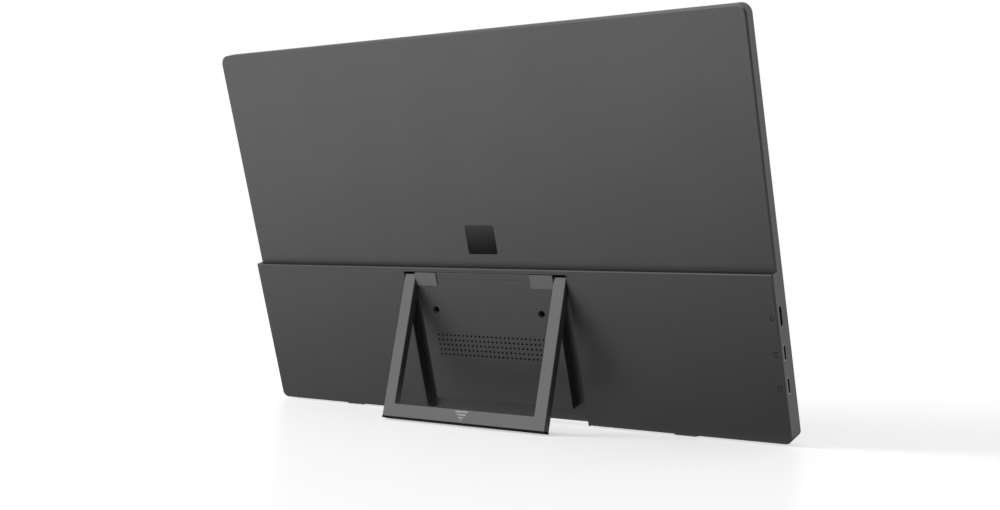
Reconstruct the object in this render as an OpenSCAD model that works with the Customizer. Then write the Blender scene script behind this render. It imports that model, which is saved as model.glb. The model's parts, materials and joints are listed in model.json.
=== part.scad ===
// Portable monitor on a fold-out U-shaped stand, seen at rest with the stand open.
// Inside on_panel() x runs along the width, y out of the back and z up the panel;
// y = 0 is the back face of the thick lower half and z = 0 its bottom edge.

/* [Panel body] */
// Width of the monitor
body_w = 360; // [330:1:400]
// Height of the monitor, measured up the panel
body_h = 224.2; // [222:0.1:260]
// Thickness of the thin upper half
thin_t = 7.4; // [7:0.1:10]
// How far the lower half stands out behind the upper half
step_t = 4.9; // [4.7:0.1:8]
// Height of the thick lower half
step_h = 90.8; // [90:0.1:108]
// Radius of the upper outline corners
corner_r = 5.5; // [3:0.5:10]
// Radius of the lower outline corners
corner_low_r = 4; // [3:0.5:10]
// Chamfer round the back edges
edge_c = 0.9; // [0.5:0.1:1.2]
// Wall of the rear cover
wall_t = 1.5; // [1.2:0.1:1.8]
// Thickness of the front bezel
bezel_t = 2.7; // [2.4:0.1:3.2]

/* [Display] */
// Width of the lit area
active_w = 344.2; // [300:0.1:344.2]
// Height of the lit area
active_h = 193.6; // [180:0.1:194]
// Bezel above the lit area
top_bezel = 7.6; // [6.5:0.1:12]
// Glass past the lit area at the top and the sides
glass_side = 3.2; // [2.5:0.1:4]
// Glass past the lit area at the bottom
glass_bottom = 8.5; // [6:0.1:9.5]
// Thickness of the display glass
glass_t = 1; // [0.8:0.1:1.2]
// Thickness of the light guide
guide_t = 1.2; // [0.8:0.1:1.3]
// Thickness of the backlight's metal tray
tray_t = 0.4; // [0.3:0.1:0.5]

/* [Stand] */
// How far the stand is open at rest, in degrees
open_angle = 30; // [15:1:60]
// Outer width of the stand
stand_w = 114.1; // [105:0.1:125]
// Width of each leg
leg_w = 8.1; // [7:0.1:10]
// Height of the cross bar with its rubber
bar_h = 8.7; // [7:0.1:10]
// Thickness of the stand frame
stand_t = 4.6; // [4.2:0.1:5]
// Height of the hinge axis above the bottom edge
axis_z = 84.4; // [82:0.1:85]
// How far the legs reach past the hinge axis
leg_top = 1.4; // [1:0.1:1.9]
// Height of the rubber strip under the cross bar
strip_h = 1.1; // [1:0.1:2.5]
// Chamfer along the edges of the stand frame
stand_c = 0.3; // [0.2:0.1:0.5]
// Gap round the folded stand
stand_gap = 0.3; // [0.3:0.1:1]

/* [Stand bay] */
// Depth of the bay that the stand folds into
bay_depth = 5.9; // [5.6:0.1:6.2]
// Wall of the bay
bay_wall = 1.2; // [1:0.1:1.3]
// Width of the bay's rim in the back face
bay_rim = 1.1; // [0.8:0.1:2]
// Gap above the legs
top_gap = 2.2; // [1.6:0.1:2.3]
// Spacing of the vent holes
vent_pitch = 3; // [2.5:0.1:3.2]
// Diameter of a vent hole
vent_d = 1.3; // [1:0.1:1.6]
// Vent holes in a row
vent_cols = 27; // [9:2:27]
// Rows of vent holes
vent_rows = 5; // [3:1:6]
// Height of the vents' middle row
vent_z = 43.6; // [40:0.1:48]
// Spacing of the two mounting holes
mount_pitch = 75; // [60:1:75]
// Height of the mounting holes
mount_z = 65; // [60:0.1:67]
// Chamfer along the rims of the bay
rim_c = 0.3; // [0.2:0.05:0.4]
// Width of the seam groove across the island
seam_w = 0.25; // [0.15:0.05:0.4]
// Depth of the seam groove across the island
seam_deep = 0.15; // [0.1:0.05:0.3]

/* [Hinges] */
// Diameter of the hinge shafts
shaft_d = 2.4; // [2:0.1:2.6]
// Outer diameter of the hinge barrels
barrel_d = 3.5; // [3.3:0.1:3.7]
// Width of a hinge cover
cover_w = 15.4; // [13.5:0.1:16]
// Height of a hinge cover
cover_h = 8; // [7:0.1:8.2]
// How far a hinge cover stands proud of the back
cover_proud = 0.45; // [0.3:0.05:0.8]

/* [Ports and buttons] */
// Height of the small video port's middle
video_z = 68; // [64:0.5:72]
// Height of the upper round-ended port's middle
port_upper_z = 48.7; // [44:0.1:52]
// Height of the lower round-ended port's middle
port_lower_z = 30.8; // [28:0.1:34]
// Height of the headphone socket's middle
jack_z = 30; // [26:0.5:34]
// Diameter of the headphone socket's bore
jack_bore_d = 3.6; // [3.55:0.05:3.8]
// Height of the menu rocker's middle
rocker_z = 52; // [48:0.5:56]
// Height of the power button's middle
power_z = 74; // [70:0.5:78]
// Travel of the power button
power_travel = 0.5; // [0.3:0.1:0.5]

/* [Badge] */
// Width of the badge
badge_w = 20.4; // [12:0.1:30]
// Height of the badge
badge_h = 17; // [10:0.1:24]
// Height of the badge's lower edge
badge_z = 98; // [93:0.5:150]
// How far the badge lies below the back face
badge_sunk = 0.15; // [0.1:0.05:0.3]

/* [Feet] */
// Spacing of the two rubber feet
foot_pitch = 235.8; // [200:0.1:260]
// Length of a foot
foot_l = 15; // [10:0.5:20]
// Depth of a foot, front to back
foot_d = 4; // [3:0.1:5]
// How far a foot stands out of the bottom edge
foot_h = 0.8; // [0.6:0.1:1.2]
// How far a foot stays in from the back face
foot_inset = 1.2; // [1:0.1:2]

/* [Hidden] */
$fn = 48;
eps = 0.01;
big = 500;

// Depths inside the body, out of the back
y_step = -step_t;
y_front = -(thin_t + step_t);
y_seam = y_front + bezel_t;
lip_t = 1;
layer_gap = 0.1;
y_glass = y_front + lip_t + layer_gap;
y_guide = y_glass + glass_t + layer_gap;
y_tray = y_guide + guide_t + layer_gap;
y_tray_back = y_tray + tray_t;
y_bay_floor = -bay_depth;
y_bay_under = -bay_depth - bay_wall;

// The display module
window_gap = 0.4;
active_z = body_h - top_bezel - active_h;
glass_w = active_w + 2 * glass_side;
glass_z = active_z - glass_bottom;
glass_h = active_h + glass_side + glass_bottom;

// The bezel's tongue, which centres it in the rear cover
tongue_gap = 0.15;
tongue_t = 0.8;
tongue_h = 1.2;

// The badge and the feet in the housing
badge_t = 0.6;
badge_r = 1.5;
badge_fit = 0.08;
foot_plug = 0.9;
foot_fit = 0.05;

// The stand, measured from its hinge axis; folded, its tip is flush with the bottom edge
axis_y = -stand_t / 2;
leg_len = axis_z;
half_stand = stand_w / 2;
half_inner = half_stand - leg_w;
bar_top = leg_len - bar_h;
nub_x = 31.5;
nub_l = 1.6;
nub_r = 0.35;
island_half = half_inner - stand_gap;
bay_half = half_stand + stand_gap;
bay_top = axis_z + leg_top + top_gap;
island_bottom = axis_z - bar_top + stand_gap + nub_r;
bay_skin = min(bay_wall, bay_rim);
bay_fit = 0.05;
stand_corner = 0.4;
strip_tongue = 1.2;
strip_tongue_t = 1.6;

// The seam across the island, at the height of the hinge axis
island_seam_z = axis_z - 0.3;

// The lean of the panel that puts its feet and the open stand on one floor
tip_z = axis_z - leg_len * cos(open_angle) - stand_t / 2 * sin(open_angle);
tip_y = axis_y + leg_len * sin(open_angle) - stand_t / 2 * cos(open_angle);
lean = atan2(tip_z + foot_h, tip_y + foot_inset);
lift = foot_h * cos(lean) - foot_inset * sin(lean);
y_lowest = y_front * cos(lean);
y_highest = body_h * sin(lean) + y_step * cos(lean);
y_shift = -(y_lowest + y_highest) / 2;

// Circuit boards
board_t = 1;
y_board = y_bay_floor - board_t;
board_gap = 1.2;
main_half = island_half - bay_wall - board_gap;
main_z = island_bottom + bay_wall + board_gap;
main_top = bay_top - cover_h - bay_wall - board_gap - 0.6;
main_plug_z = main_z + 3;
timing_plug_y = y_seam + 0.5;
timing_plug_z = glass_z - 4;
side_board_x = body_w / 2 - wall_t - 2;
port_board_w = 48;
button_board_w = 24;
boss_r = 2.3;
screw_r = 0.8;
screw_head_r = 1.5;
screw_fit = 0.05;
cable_z = 36;
cable_w = 12;
cable_t = 0.3;
cable_fit = 0.02;
plug_t = 0.8;
plug_tab = 3;
y_cable = y_board - plug_t + 0.15;

// Sockets in the side wall: a thin shell in an opening, its mouth almost flush
port_y = -4.4;
shell_t = 0.3;
shell_fit = 0.08;
shell_l = 7.5;
shell_x = -body_w / 2 + 0.1;
shell_back_t = 0.5;
round_l = 8.34;
round_h = 2.4;
video_l = 10.5;
video_h = 2.4;
video_cut = 1.05;
video_cut_h = 0.7;
jack_l = 13;
jack_nose_r = 2.5;
jack_fit = 0.1;

// Hinges
shaft_gap = 0.05;
shaft_r = shaft_d / 2;
barrel_x = island_half - 8.2;
barrel_l = 7.1;
pocket_x = island_half - cover_w - 0.1;
pocket_h = cover_h + 0.2;
pocket_z = bay_top - pocket_h;
pocket_mid = pocket_z + pocket_h / 2;
hinge_base_t = 0.8;
shaft_grip = 6;
shaft_flat = 0.35;
washer_t = 0.35;
nut_t = 0.8;
hinge_screw_x = pocket_x + 2.2;
hinge_screw_dz = 1.9;

// Buttons in the side wall
button_gap = 0.2;
button_y = port_y;
button_w = 3.2;
power_l = 10;
rocker_l = 16;
flange_t = 0.7;
rocker_pin_r = 0.6;
rocker_pin_x = body_w / 2 - 3.2;
rocker_arm = 5.4;
power_proud = 0.2;
rocker_proud = 0.1;
switch_x = body_w / 2 - 4.6;

// Mounting inserts
insert_r = 2.9;
insert_bore_r = 1.65;
insert_l = 4;
insert_depth = 1;
insert_hole_r = 2.2;

module on_panel() { translate([0, y_shift, lift]) rotate([-lean, 0, 0]) children(); }
// A flat outline in x and z, given thickness from y0 to y1
module plate(y0, y1) { translate([0, y1, 0]) rotate([90, 0, 0]) linear_extrude(y1 - y0) children(); }
// An outline in y and z, given length from x0 to x1
module run(x0, x1) { translate([x0, 0, 0]) rotate([90, 0, 90]) linear_extrude(x1 - x0) children(); }
module block(x0, x1, y0, y1, z0, z1) { translate([x0, y0, z0]) cube([x1 - x0, y1 - y0, z1 - z0]); }
module y_rod(x, z, y0, y1, r) { translate([x, y0, z]) rotate([-90, 0, 0]) cylinder(h = y1 - y0, r = r); }
module x_rod(y, z, x0, x1, r) { translate([x0, y, z]) rotate([0, 90, 0]) cylinder(h = x1 - x0, r = r); }
module both_sides() { children(); mirror([1, 0, 0]) children(); }

// A rectangle from z = 0 to h, centred in x, with round corners, grown or shrunk by d;
// the lower corners may have a radius of their own
module outline(w, h, r, d = 0, low_r = -1) {
    top = max(r + d, 0.2);
    low = max((low_r < 0 ? r : low_r) + d, 0.2);
    half = w / 2 + d;
    translate([-half, low - d]) square([2 * half, h + 2 * d - top - low]);
    translate([-half + low, -d]) square([2 * (half - low), h / 2]);
    translate([-half + top, h / 2]) square([2 * (half - top), h / 2 + d]);
    for (x = [-1, 1]) {
        translate([x * (half - low), low - d]) circle(low);
        translate([x * (half - top), h + d - top]) circle(top);
    }
}
module body_outline(d = 0) { outline(body_w, body_h, corner_r, d, corner_low_r); }

// A stadium, long in z, for slots and buttons
module stadium(l, w) {
    square([w, l - w], center = true);
    for (s = [-1, 1]) translate([0, s * (l - w) / 2]) circle(w / 2);
}

// The body outline from y0 to y1 with a chamfer round its face at y1
module chamfered_body(y0, y1, c) {
    half = body_w / 2;
    mid = body_h / 2;
    plate(y0, y1 - c) body_outline();
    for (x = [-1, 1], corner = [[corner_low_r, corner_low_r], [body_h - corner_r, corner_r]])
        translate([x * (half - corner[1]), y1 - c, corner[0]]) rotate([-90, 0, 0])
            cylinder(h = c, r1 = corner[1], r2 = corner[1] - c);
    translate([0, 0, corner_low_r]) linear_extrude(body_h - corner_r - corner_low_r)
        polygon([[-half, y1 - c], [half, y1 - c], [half - c, y1], [-half + c, y1]]);
    run(-half + corner_r, half - corner_r)
        polygon([[y1 - c, mid], [y1 - c, body_h], [y1, body_h - c], [y1, mid]]);
    run(-half + corner_low_r, half - corner_low_r)
        polygon([[y1 - c, 0], [y1 - c, mid], [y1, mid], [y1, c]]);
}

module front_bezel() {
    color([0.10, 0.10, 0.11]) on_panel() difference() {
        union() {
            mirror([0, 1, 0]) chamfered_body(-y_seam, -y_front, 0.5);
            plate(y_seam - eps, y_seam + tongue_h) difference() {
                body_outline(-wall_t - tongue_gap);
                body_outline(-wall_t - tongue_gap - tongue_t);
            }
        }
        plate(y_front + lip_t, y_seam + eps) body_outline(-wall_t - tongue_gap - tongue_t);
        translate([0, 0, active_z - window_gap]) plate(y_front - 1, y_seam)
            outline(active_w + 2 * window_gap, active_h + 2 * window_gap, 0.8);
    }
}

module display_glass() {
    color([0.03, 0.03, 0.04]) on_panel()
        translate([0, 0, glass_z]) plate(y_glass, y_glass + glass_t) outline(glass_w, glass_h, 0.5);
}

module light_guide() {
    color([0.85, 0.9, 0.92]) on_panel()
        translate([0, 0, glass_z + 1.5]) plate(y_guide, y_guide + guide_t)
            outline(glass_w - 3, glass_h - 3, 0.5);
}

module backlight_tray() {
    color([0.75, 0.76, 0.78]) on_panel() translate([0, 0, glass_z]) difference() {
        plate(y_guide, y_tray_back) outline(glass_w, glass_h, 0.5);
        translate([0, 0, 1]) plate(y_guide - 1, y_tray) outline(glass_w - 2, glass_h - 2, 0.5);
    }
}

// The rectangular opening that the stand bay fills
module bay_hole(d) {
    half = bay_half + bay_rim + d;
    translate([-half, -10]) square([2 * half, bay_top + bay_rim + d + 10]);
}

module rear_shell() {
    chamfered_body(y_seam, y_step, edge_c);
    difference() {
        intersection() {
            chamfered_body(y_step - 1, 0, edge_c);
            block(-big, big, -big, big, -big, step_h);
        }
        run(-big, big) polygon([[0.1, step_h + 0.1], [-0.6, step_h + 0.1], [0.1, step_h - 0.6]]);
    }
}

module cover_ribs() {
    rib_t = 1;
    rib_y = y_tray_back + 0.2;
    for (x = [-135, -90, -45, 0, 45, 90, 135])
        block(x - rib_t / 2, x + rib_t / 2, rib_y, y_step - wall_t + eps, step_h, body_h - wall_t - 2);
    for (z = [step_h + 34, step_h + 78, body_h - 14])
        block(-body_w / 2 + 8, body_w / 2 - 8, rib_y, y_step - wall_t + eps, z - rib_t / 2, z + rib_t / 2);
}

// Where the side boards are screwed down, as [x, z]
function port_screws() = [for (x = [5, port_board_w - 5], z = [17, 80]) [x - side_board_x, z]];
function button_screws() = [for (z = [46, 82]) [side_board_x - button_board_w + 4, z]];
function main_screws() = [for (x = [-1, 1], z = [main_z + 4, main_top - 4]) [x * (main_half - 4), z]];

module side_bosses() {
    for (p = concat(port_screws(), button_screws()))
        y_rod(p[0], p[1], y_bay_floor + 0.02, -wall_t + eps, boss_r);
}

// Ears that hold the menu rocker's cross pin
module rocker_ears() {
    for (y = [[button_y + 1.9, -wall_t + eps], [button_y - 2.7, button_y - 1.9]])
        difference() {
            block(rocker_pin_x - 1.3, body_w / 2 - wall_t + eps, y[0], y[1], rocker_z - 1.3, rocker_z + 1.3);
            y_rod(rocker_pin_x, rocker_z, y[0] - 1, y[1] + 1, rocker_pin_r + shaft_gap);
        }
}

module rear_cover() {
    color([0.30, 0.30, 0.31]) on_panel() difference() {
        union() {
            difference() {
                rear_shell();
                plate(y_seam - 1, y_step - wall_t) body_outline(-wall_t);
                intersection() {
                    plate(y_seam - 1, -wall_t) body_outline(-wall_t);
                    block(-big, big, -big, big, -big, step_h - wall_t);
                }
            }
            cover_ribs();
            side_bosses();
            rocker_ears();
        }
        plate(y_bay_under - 0.1, 1) bay_hole(bay_fit);
        for (p = concat(port_screws(), button_screws()))
            y_rod(p[0], p[1], y_bay_floor - 1, -wall_t - 0.8, screw_r - screw_fit);
        side_holes();
        badge_pocket();
        foot_pockets();
    }
}

module side_holes() {
    translate([0, port_y, 0]) {
        run(-big, -body_w / 2 + wall_t + 1) {
            translate([0, video_z]) video_outline(shell_t + shell_fit);
            for (z = [port_upper_z, port_lower_z]) translate([0, z]) round_outline(shell_t + shell_fit);
        }
        run(body_w / 2 - wall_t - 1, big) {
            translate([0, power_z]) stadium(power_l + 2 * button_gap, button_w + 2 * button_gap);
            translate([0, rocker_z]) stadium(rocker_l + 2 * button_gap, button_w + 2 * button_gap);
            translate([0, jack_z]) circle(jack_nose_r + jack_fit);
        }
    }
}

module badge_pocket() {
    translate([0, 0, badge_z]) plate(y_step - badge_sunk - badge_t, y_step + 1)
        outline(badge_w, badge_h, badge_r);
}
module badge_inlay() {
    color([0.07, 0.07, 0.08]) on_panel()
        translate([0, 0, badge_z]) plate(y_step - badge_sunk - badge_t, y_step - badge_sunk)
            outline(badge_w, badge_h, badge_r, -badge_fit);
}

// The feet: a pad under the bottom edge with a plug in the bottom wall
module foot_shape(d, z0, z1) {
    r = foot_d / 2 + d;
    y = -foot_inset - foot_d / 2;
    for (s = [-1, 1]) translate([s * (foot_l - foot_d) / 2, y, z0]) cylinder(h = z1 - z0, r = r);
    block(-(foot_l - foot_d) / 2, (foot_l - foot_d) / 2, y - r, y + r, z0, z1);
}
module foot_pockets() {
    both_sides() translate([foot_pitch / 2, 0, 0]) foot_shape(foot_fit, -1, foot_plug);
}
module rubber_foot(side) {
    color([0.08, 0.08, 0.08]) on_panel()
        translate([side * foot_pitch / 2, 0, 0]) foot_shape(0, -foot_h, foot_plug);
}
module rubber_foot_left() { rubber_foot(1); }
module rubber_foot_right() { rubber_foot(-1); }

// The two channels and the cross bar's channel that the stand folds into
module bay_channel(y0, y1, d = 0) {
    plate(y0, y1) difference() {
        translate([-bay_half - d, -10]) square([2 * (bay_half + d), bay_top + d + 10]);
        translate([-island_half + d, island_bottom + d])
            square([2 * (island_half - d), bay_top - island_bottom + 20]);
    }
}
module hinge_pocket(y0, y1, d = 0) {
    both_sides() block(pocket_x - d, island_half + eps, y0, y1, pocket_z - d, pocket_z + pocket_h + d);
}
module vent_holes() {
    for (i = [0 : vent_cols - 1], j = [0 : vent_rows - 1])
        y_rod((i - (vent_cols - 1) / 2) * vent_pitch, vent_z + (j - (vent_rows - 1) / 2) * vent_pitch,
            -wall_t - 1, 1, vent_d / 2, $fn = 16);
}
// A square bar that cuts a chamfer of c where its middle line follows an edge
module edge_bar(c) { rotate(45) square(c * sqrt(2), center = true); }
// The chamfered rims of the channels, and the seam across the island
module bay_rims() {
    both_sides() {
        translate([bay_half, 0, -1]) linear_extrude(bay_top + 1) edge_bar(rim_c);
        translate([island_half, 0, island_bottom]) linear_extrude(pocket_z - island_bottom) edge_bar(rim_c);
    }
    run(-bay_half, bay_half) translate([0, bay_top]) edge_bar(rim_c);
    run(-island_half, island_half) translate([0, island_bottom]) edge_bar(rim_c);
    block(-pocket_x, pocket_x, -seam_deep, 1, island_seam_z - seam_w / 2, island_seam_z + seam_w / 2);
}
module stand_bay() {
    color([0.29, 0.29, 0.30]) on_panel() difference() {
        union() {
            plate(-wall_t, 0) intersection() {
                bay_hole(0);
                body_outline();
            }
            intersection() {
                bay_channel(y_bay_under, 0, bay_skin);
                block(-big, big, -big, big, 0, big);
            }
            hinge_pocket(y_bay_under, 0, bay_skin);
            for (p = main_screws()) y_rod(p[0], p[1], y_bay_floor + 0.02, -wall_t + eps, boss_r);
            both_sides() y_rod(mount_pitch / 2, mount_z, -insert_depth - insert_l - 0.1, -wall_t + eps,
                insert_r + 1.2);
        }
        bay_channel(y_bay_floor, 1);
        hinge_pocket(y_bay_floor, 1);
        bay_rims();
        vent_holes();
        both_sides() y_rod(mount_pitch / 2, mount_z, -10, 1, insert_hole_r);
        both_sides() y_rod(mount_pitch / 2, mount_z, -10, -insert_depth, insert_r + 0.02);
        for (p = main_screws()) y_rod(p[0], p[1], y_bay_floor - 1, -wall_t - 0.8, screw_r - screw_fit);
        both_sides() for (s = [-1, 1])
            y_rod(hinge_screw_x, pocket_mid + s * hinge_screw_dz, y_bay_under - 1, 0, screw_r - screw_fit);
    }
}

module mount_inserts() {
    color([0.25, 0.25, 0.26]) on_panel() both_sides() difference() {
        y_rod(mount_pitch / 2, mount_z, -insert_depth - insert_l, -insert_depth, insert_r);
        y_rod(mount_pitch / 2, mount_z, -10, 1, insert_bore_r);
    }
}

module chip(x, z, w, h, t) {
    block(x - w / 2, x + w / 2, y_bay_floor - eps, y_bay_floor + t, z - h / 2, z + h / 2);
}
module connector(x, z, w, h) {
    block(x - w / 2, x + w / 2, y_board - plug_t, y_board + eps, z - h / 2, z + h / 2);
}
module board_holes(points) {
    for (p = points) y_rod(p[0], p[1], y_board - 1, y_bay_floor + 1, screw_r + 0.2);
}

module main_board() {
    color([0.05, 0.28, 0.16]) on_panel() difference() {
        union() {
            block(-main_half, main_half, y_board, y_bay_floor, main_z, main_top);
            chip(0, vent_z, 16, 16, 1);
            chip(0, vent_z + 18, 9, 11, 1);
            chip(-16, main_z + 7, 10, 7, 1.8);
            chip(16, main_z + 7, 8, 6, 1.4);
            for (i = [-2 : 2]) chip(i * 6, vent_z - 14, 3, 2, 1.2);
            connector(-main_half + 4, cable_z, 5, cable_w + 2);
            connector(main_half - 4, cable_z, 5, cable_w + 2);
            connector(0, main_plug_z, 16, 4);
        }
        board_holes(main_screws());
    }
}
module heat_spreader() {
    color([0.7, 0.71, 0.73]) on_panel() {
        base_y = y_bay_floor + 1.02;
        block(-12, 12, base_y, base_y + 0.8, vent_z - 10, vent_z + 10);
        for (i = [-5 : 5])
            block(i * 2.2 - 0.35, i * 2.2 + 0.35, base_y, base_y + 2.6, vent_z - 10, vent_z + 10);
    }
}

module port_board() {
    color([0.05, 0.28, 0.16]) on_panel() difference() {
        union() {
            block(-side_board_x, -side_board_x + port_board_w, y_board, y_bay_floor, 12, 84);
            chip(-side_board_x + 24, 60, 9, 9, 1);
            chip(-side_board_x + 24, 32, 12, 10, 1.4);
            for (i = [0 : 3]) chip(-side_board_x + 18, 42 + i * 3.4, 2.6, 1.8, 1.2);
            connector(-side_board_x + port_board_w - 4, cable_z, 5, cable_w + 2);
        }
        board_holes(port_screws());
    }
}
module button_board() {
    color([0.05, 0.28, 0.16]) on_panel() difference() {
        union() {
            block(side_board_x - button_board_w, side_board_x - 1.2, y_board, y_bay_floor, jack_z - 6, 86);
            chip(side_board_x - 16, 62, 6, 6, 1);
            connector(side_board_x - button_board_w + 4, cable_z, 5, cable_w + 2);
        }
        block(side_board_x - jack_l + 1.5, side_board_x + 1, y_board - 1, 0, jack_z - 3.2, jack_z + 3.2);
        board_holes(button_screws());
    }
}
module timing_board() {
    color([0.05, 0.28, 0.16]) on_panel() {
        top = glass_z - 1;
        block(-100, 100, y_seam - 0.9, y_seam - 0.1, 4, top);
        for (x = [-60, -20, 55]) block(x - 6, x + 6, y_seam - 0.11, y_seam + 0.7, 5.5, top - 1.5);
        block(-9, 9, y_seam - 0.11, timing_plug_y, timing_plug_z - 2, timing_plug_z + 2);
    }
}

// A socket shell along the x axis with its mouth towards -x
module video_port() {
    color([0.72, 0.72, 0.74]) on_panel() translate([0, port_y, video_z]) {
        run(shell_x, shell_x + shell_l) difference() {
            video_outline(shell_t);
            video_outline(0);
        }
        run(shell_x + shell_l - shell_back_t, shell_x + shell_l) video_outline(shell_t - 0.1);
        run(shell_x + 1.6, shell_x + shell_l - 0.2) square([0.7, video_l - 2.5], center = true);
    }
}
// The mouth's outline, with its long side in z and cut corners towards the front, grown by d
module video_outline(d) {
    half = video_l / 2 + d;
    deep = video_h / 2 + d;
    polygon([[-deep, -half + video_cut], [-deep + video_cut_h, -half], [deep, -half],
        [deep, half], [-deep + video_cut_h, half], [-deep, half - video_cut]]);
}
module round_outline(d) { stadium(round_l + 2 * d, round_h + 2 * d); }
module round_port(z) {
    color([0.72, 0.72, 0.74]) on_panel() translate([0, port_y, z]) {
        run(shell_x, shell_x + shell_l) difference() {
            round_outline(shell_t);
            round_outline(0);
        }
        run(shell_x + shell_l - shell_back_t, shell_x + shell_l) round_outline(shell_t - 0.1);
        run(shell_x + 1.5, shell_x + shell_l - 0.2) square([0.7, round_l - 1.64], center = true);
    }
}
module upper_port() { round_port(port_upper_z); }
module lower_port() { round_port(port_lower_z); }

module headphone_jack() {
    color([0.12, 0.12, 0.13]) on_panel() difference() {
        union() {
            block(body_w / 2 - wall_t - 0.2 - jack_l, body_w / 2 - wall_t - 0.2, port_y - 2.3, port_y + 2.5,
                jack_z - 3, jack_z + 3);
            x_rod(port_y, jack_z, body_w / 2 - wall_t - 0.3, body_w / 2 - 0.4, jack_nose_r);
        }
        x_rod(port_y, jack_z, body_w / 2 - 12.4, body_w / 2 + 1, jack_bore_d / 2);
    }
}

// A flat cable between two boards, passing under the stand bay
module flat_cable(x0, x1) {
    color([0.9, 0.9, 0.88]) on_panel()
        block(x0, x1, y_cable - cable_t, y_cable, cable_z - cable_w / 2, cable_z + cable_w / 2);
}
module board_cable() { flat_cable(-side_board_x + port_board_w - 1.4, -main_half + 1.4); }
module button_cable() { flat_cable(main_half - 1.4, side_board_x - button_board_w + 1.4); }
// Its two ends lie on the boards' plugs, with a slanted web between them
module display_cable() {
    low_y = timing_plug_y + cable_fit;
    high_y = y_board - plug_t - cable_fit;
    color([0.9, 0.9, 0.88]) on_panel() {
        block(-7, 7, low_y, low_y + cable_t, timing_plug_z - plug_tab / 2, timing_plug_z + plug_tab / 2);
        block(-7, 7, high_y - cable_t, high_y, main_plug_z - plug_tab / 2, main_plug_z + plug_tab / 2);
        hull() {
            block(-7, 7, low_y, low_y + cable_t, timing_plug_z - cable_t / 2, timing_plug_z + cable_t / 2);
            block(-7, 7, high_y - cable_t, high_y, main_plug_z - cable_t / 2, main_plug_z + cable_t / 2);
        }
    }
}

module pan_screw(x, z, y_head, len, head_t) {
    y_rod(x, z, y_head - head_t, y_head, screw_head_r);
    y_rod(x, z, y_head - eps, y_head + len, screw_r - 2 * screw_fit);
}
module board_screws() {
    color([0.6, 0.6, 0.62]) on_panel() for (p = concat(main_screws(), port_screws(), button_screws()))
        pan_screw(p[0], p[1], y_board - 0.02, 3.8, 0.7);
}

module speaker(side) {
    color([0.15, 0.15, 0.16]) on_panel() translate([side * 29.5, 0, 0]) difference() {
        block(-13, 13, y_bay_floor + 0.6, -wall_t - 0.2, vent_z - 7, vent_z + 7);
        block(-11, 11, -wall_t - 1, 0, vent_z - 5, vent_z + 5);
        y_rod(0, vent_z, -wall_t - 1.6, 0, 3);
    }
}
module speaker_left() { speaker(1); }
module speaker_right() { speaker(-1); }

module tact_switch(z) {
    block(switch_x - 3.4, switch_x - 0.4, y_bay_floor + 0.02, button_y + 1.2, z - 1.7, z + 1.7);
    x_rod(button_y, z, switch_x - 0.5, switch_x, 0.8);
}
module power_switch() { color([0.5, 0.5, 0.5]) on_panel() tact_switch(power_z); }
module rocker_switches() {
    color([0.5, 0.5, 0.5]) on_panel() for (s = [-1, 1]) tact_switch(rocker_z + s * rocker_arm);
}

module power_button() {
    face_x = body_w / 2 + power_proud;
    in_x = body_w / 2 - wall_t - 0.1;
    color([0.2, 0.2, 0.21]) on_panel() translate([0, button_y, power_z]) {
        run(in_x - flange_t, face_x) stadium(power_l, button_w);
        run(in_x - flange_t, in_x) stadium(power_l + 2, button_w + 1.2);
        x_rod(0, 0, switch_x + power_travel + 0.1, in_x, 0.9);
    }
}
module menu_rocker() {
    face_x = body_w / 2 + rocker_proud;
    in_x = body_w / 2 - wall_t - 0.5;
    color([0.2, 0.2, 0.21]) on_panel() {
        translate([0, button_y, rocker_z]) {
            run(in_x - flange_t, face_x) stadium(rocker_l, button_w);
            run(in_x - flange_t, in_x) stadium(rocker_l + 1.6, button_w);
            for (s = [-1, 1]) x_rod(0, s * rocker_arm, switch_x + 0.3, in_x, 0.8);
        }
        block(rocker_pin_x - 1.2, in_x, button_y - 1.6, button_y + 1.6, rocker_z - 1.2, rocker_z + 1.2);
        y_rod(rocker_pin_x, rocker_z, button_y - 2.6, button_y + 2.5, rocker_pin_r);
    }
}

// The hinge bracket: a base screwed into the bay's pocket and a barrel round the shaft
module hinge_bracket(side) {
    base_y = y_bay_floor + hinge_base_t + 0.02;
    color([0.55, 0.56, 0.58]) on_panel() mirror([side < 0 ? 1 : 0, 0, 0]) difference() {
        union() {
            block(pocket_x + 0.3, barrel_x + barrel_l, y_bay_floor + 0.02, base_y, pocket_z + 0.2,
                pocket_z + pocket_h - 0.2);
            block(barrel_x, barrel_x + barrel_l, base_y - eps, axis_y, axis_z - barrel_d / 2,
                axis_z + barrel_d / 2);
            x_rod(axis_y, axis_z, barrel_x, barrel_x + barrel_l, barrel_d / 2);
        }
        x_rod(axis_y, axis_z, barrel_x - 1, barrel_x + barrel_l + 1, shaft_r + shaft_gap);
        for (s = [-1, 1])
            y_rod(hinge_screw_x, pocket_mid + s * hinge_screw_dz, y_bay_floor - 1, base_y + 1,
                screw_r + 0.1);
    }
}
module hinge_bracket_left() { hinge_bracket(1); }
module hinge_bracket_right() { hinge_bracket(-1); }

module hinge_screws() {
    base_y = y_bay_floor + hinge_base_t + 0.04;
    color([0.6, 0.6, 0.62]) on_panel() both_sides() for (s = [-1, 1]) {
        z = pocket_mid + s * hinge_screw_dz;
        y_rod(hinge_screw_x, z, base_y, base_y + 0.6, 1.35);
        y_rod(hinge_screw_x, z, base_y - 2, base_y + eps, screw_r - 2 * screw_fit);
    }
}

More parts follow.
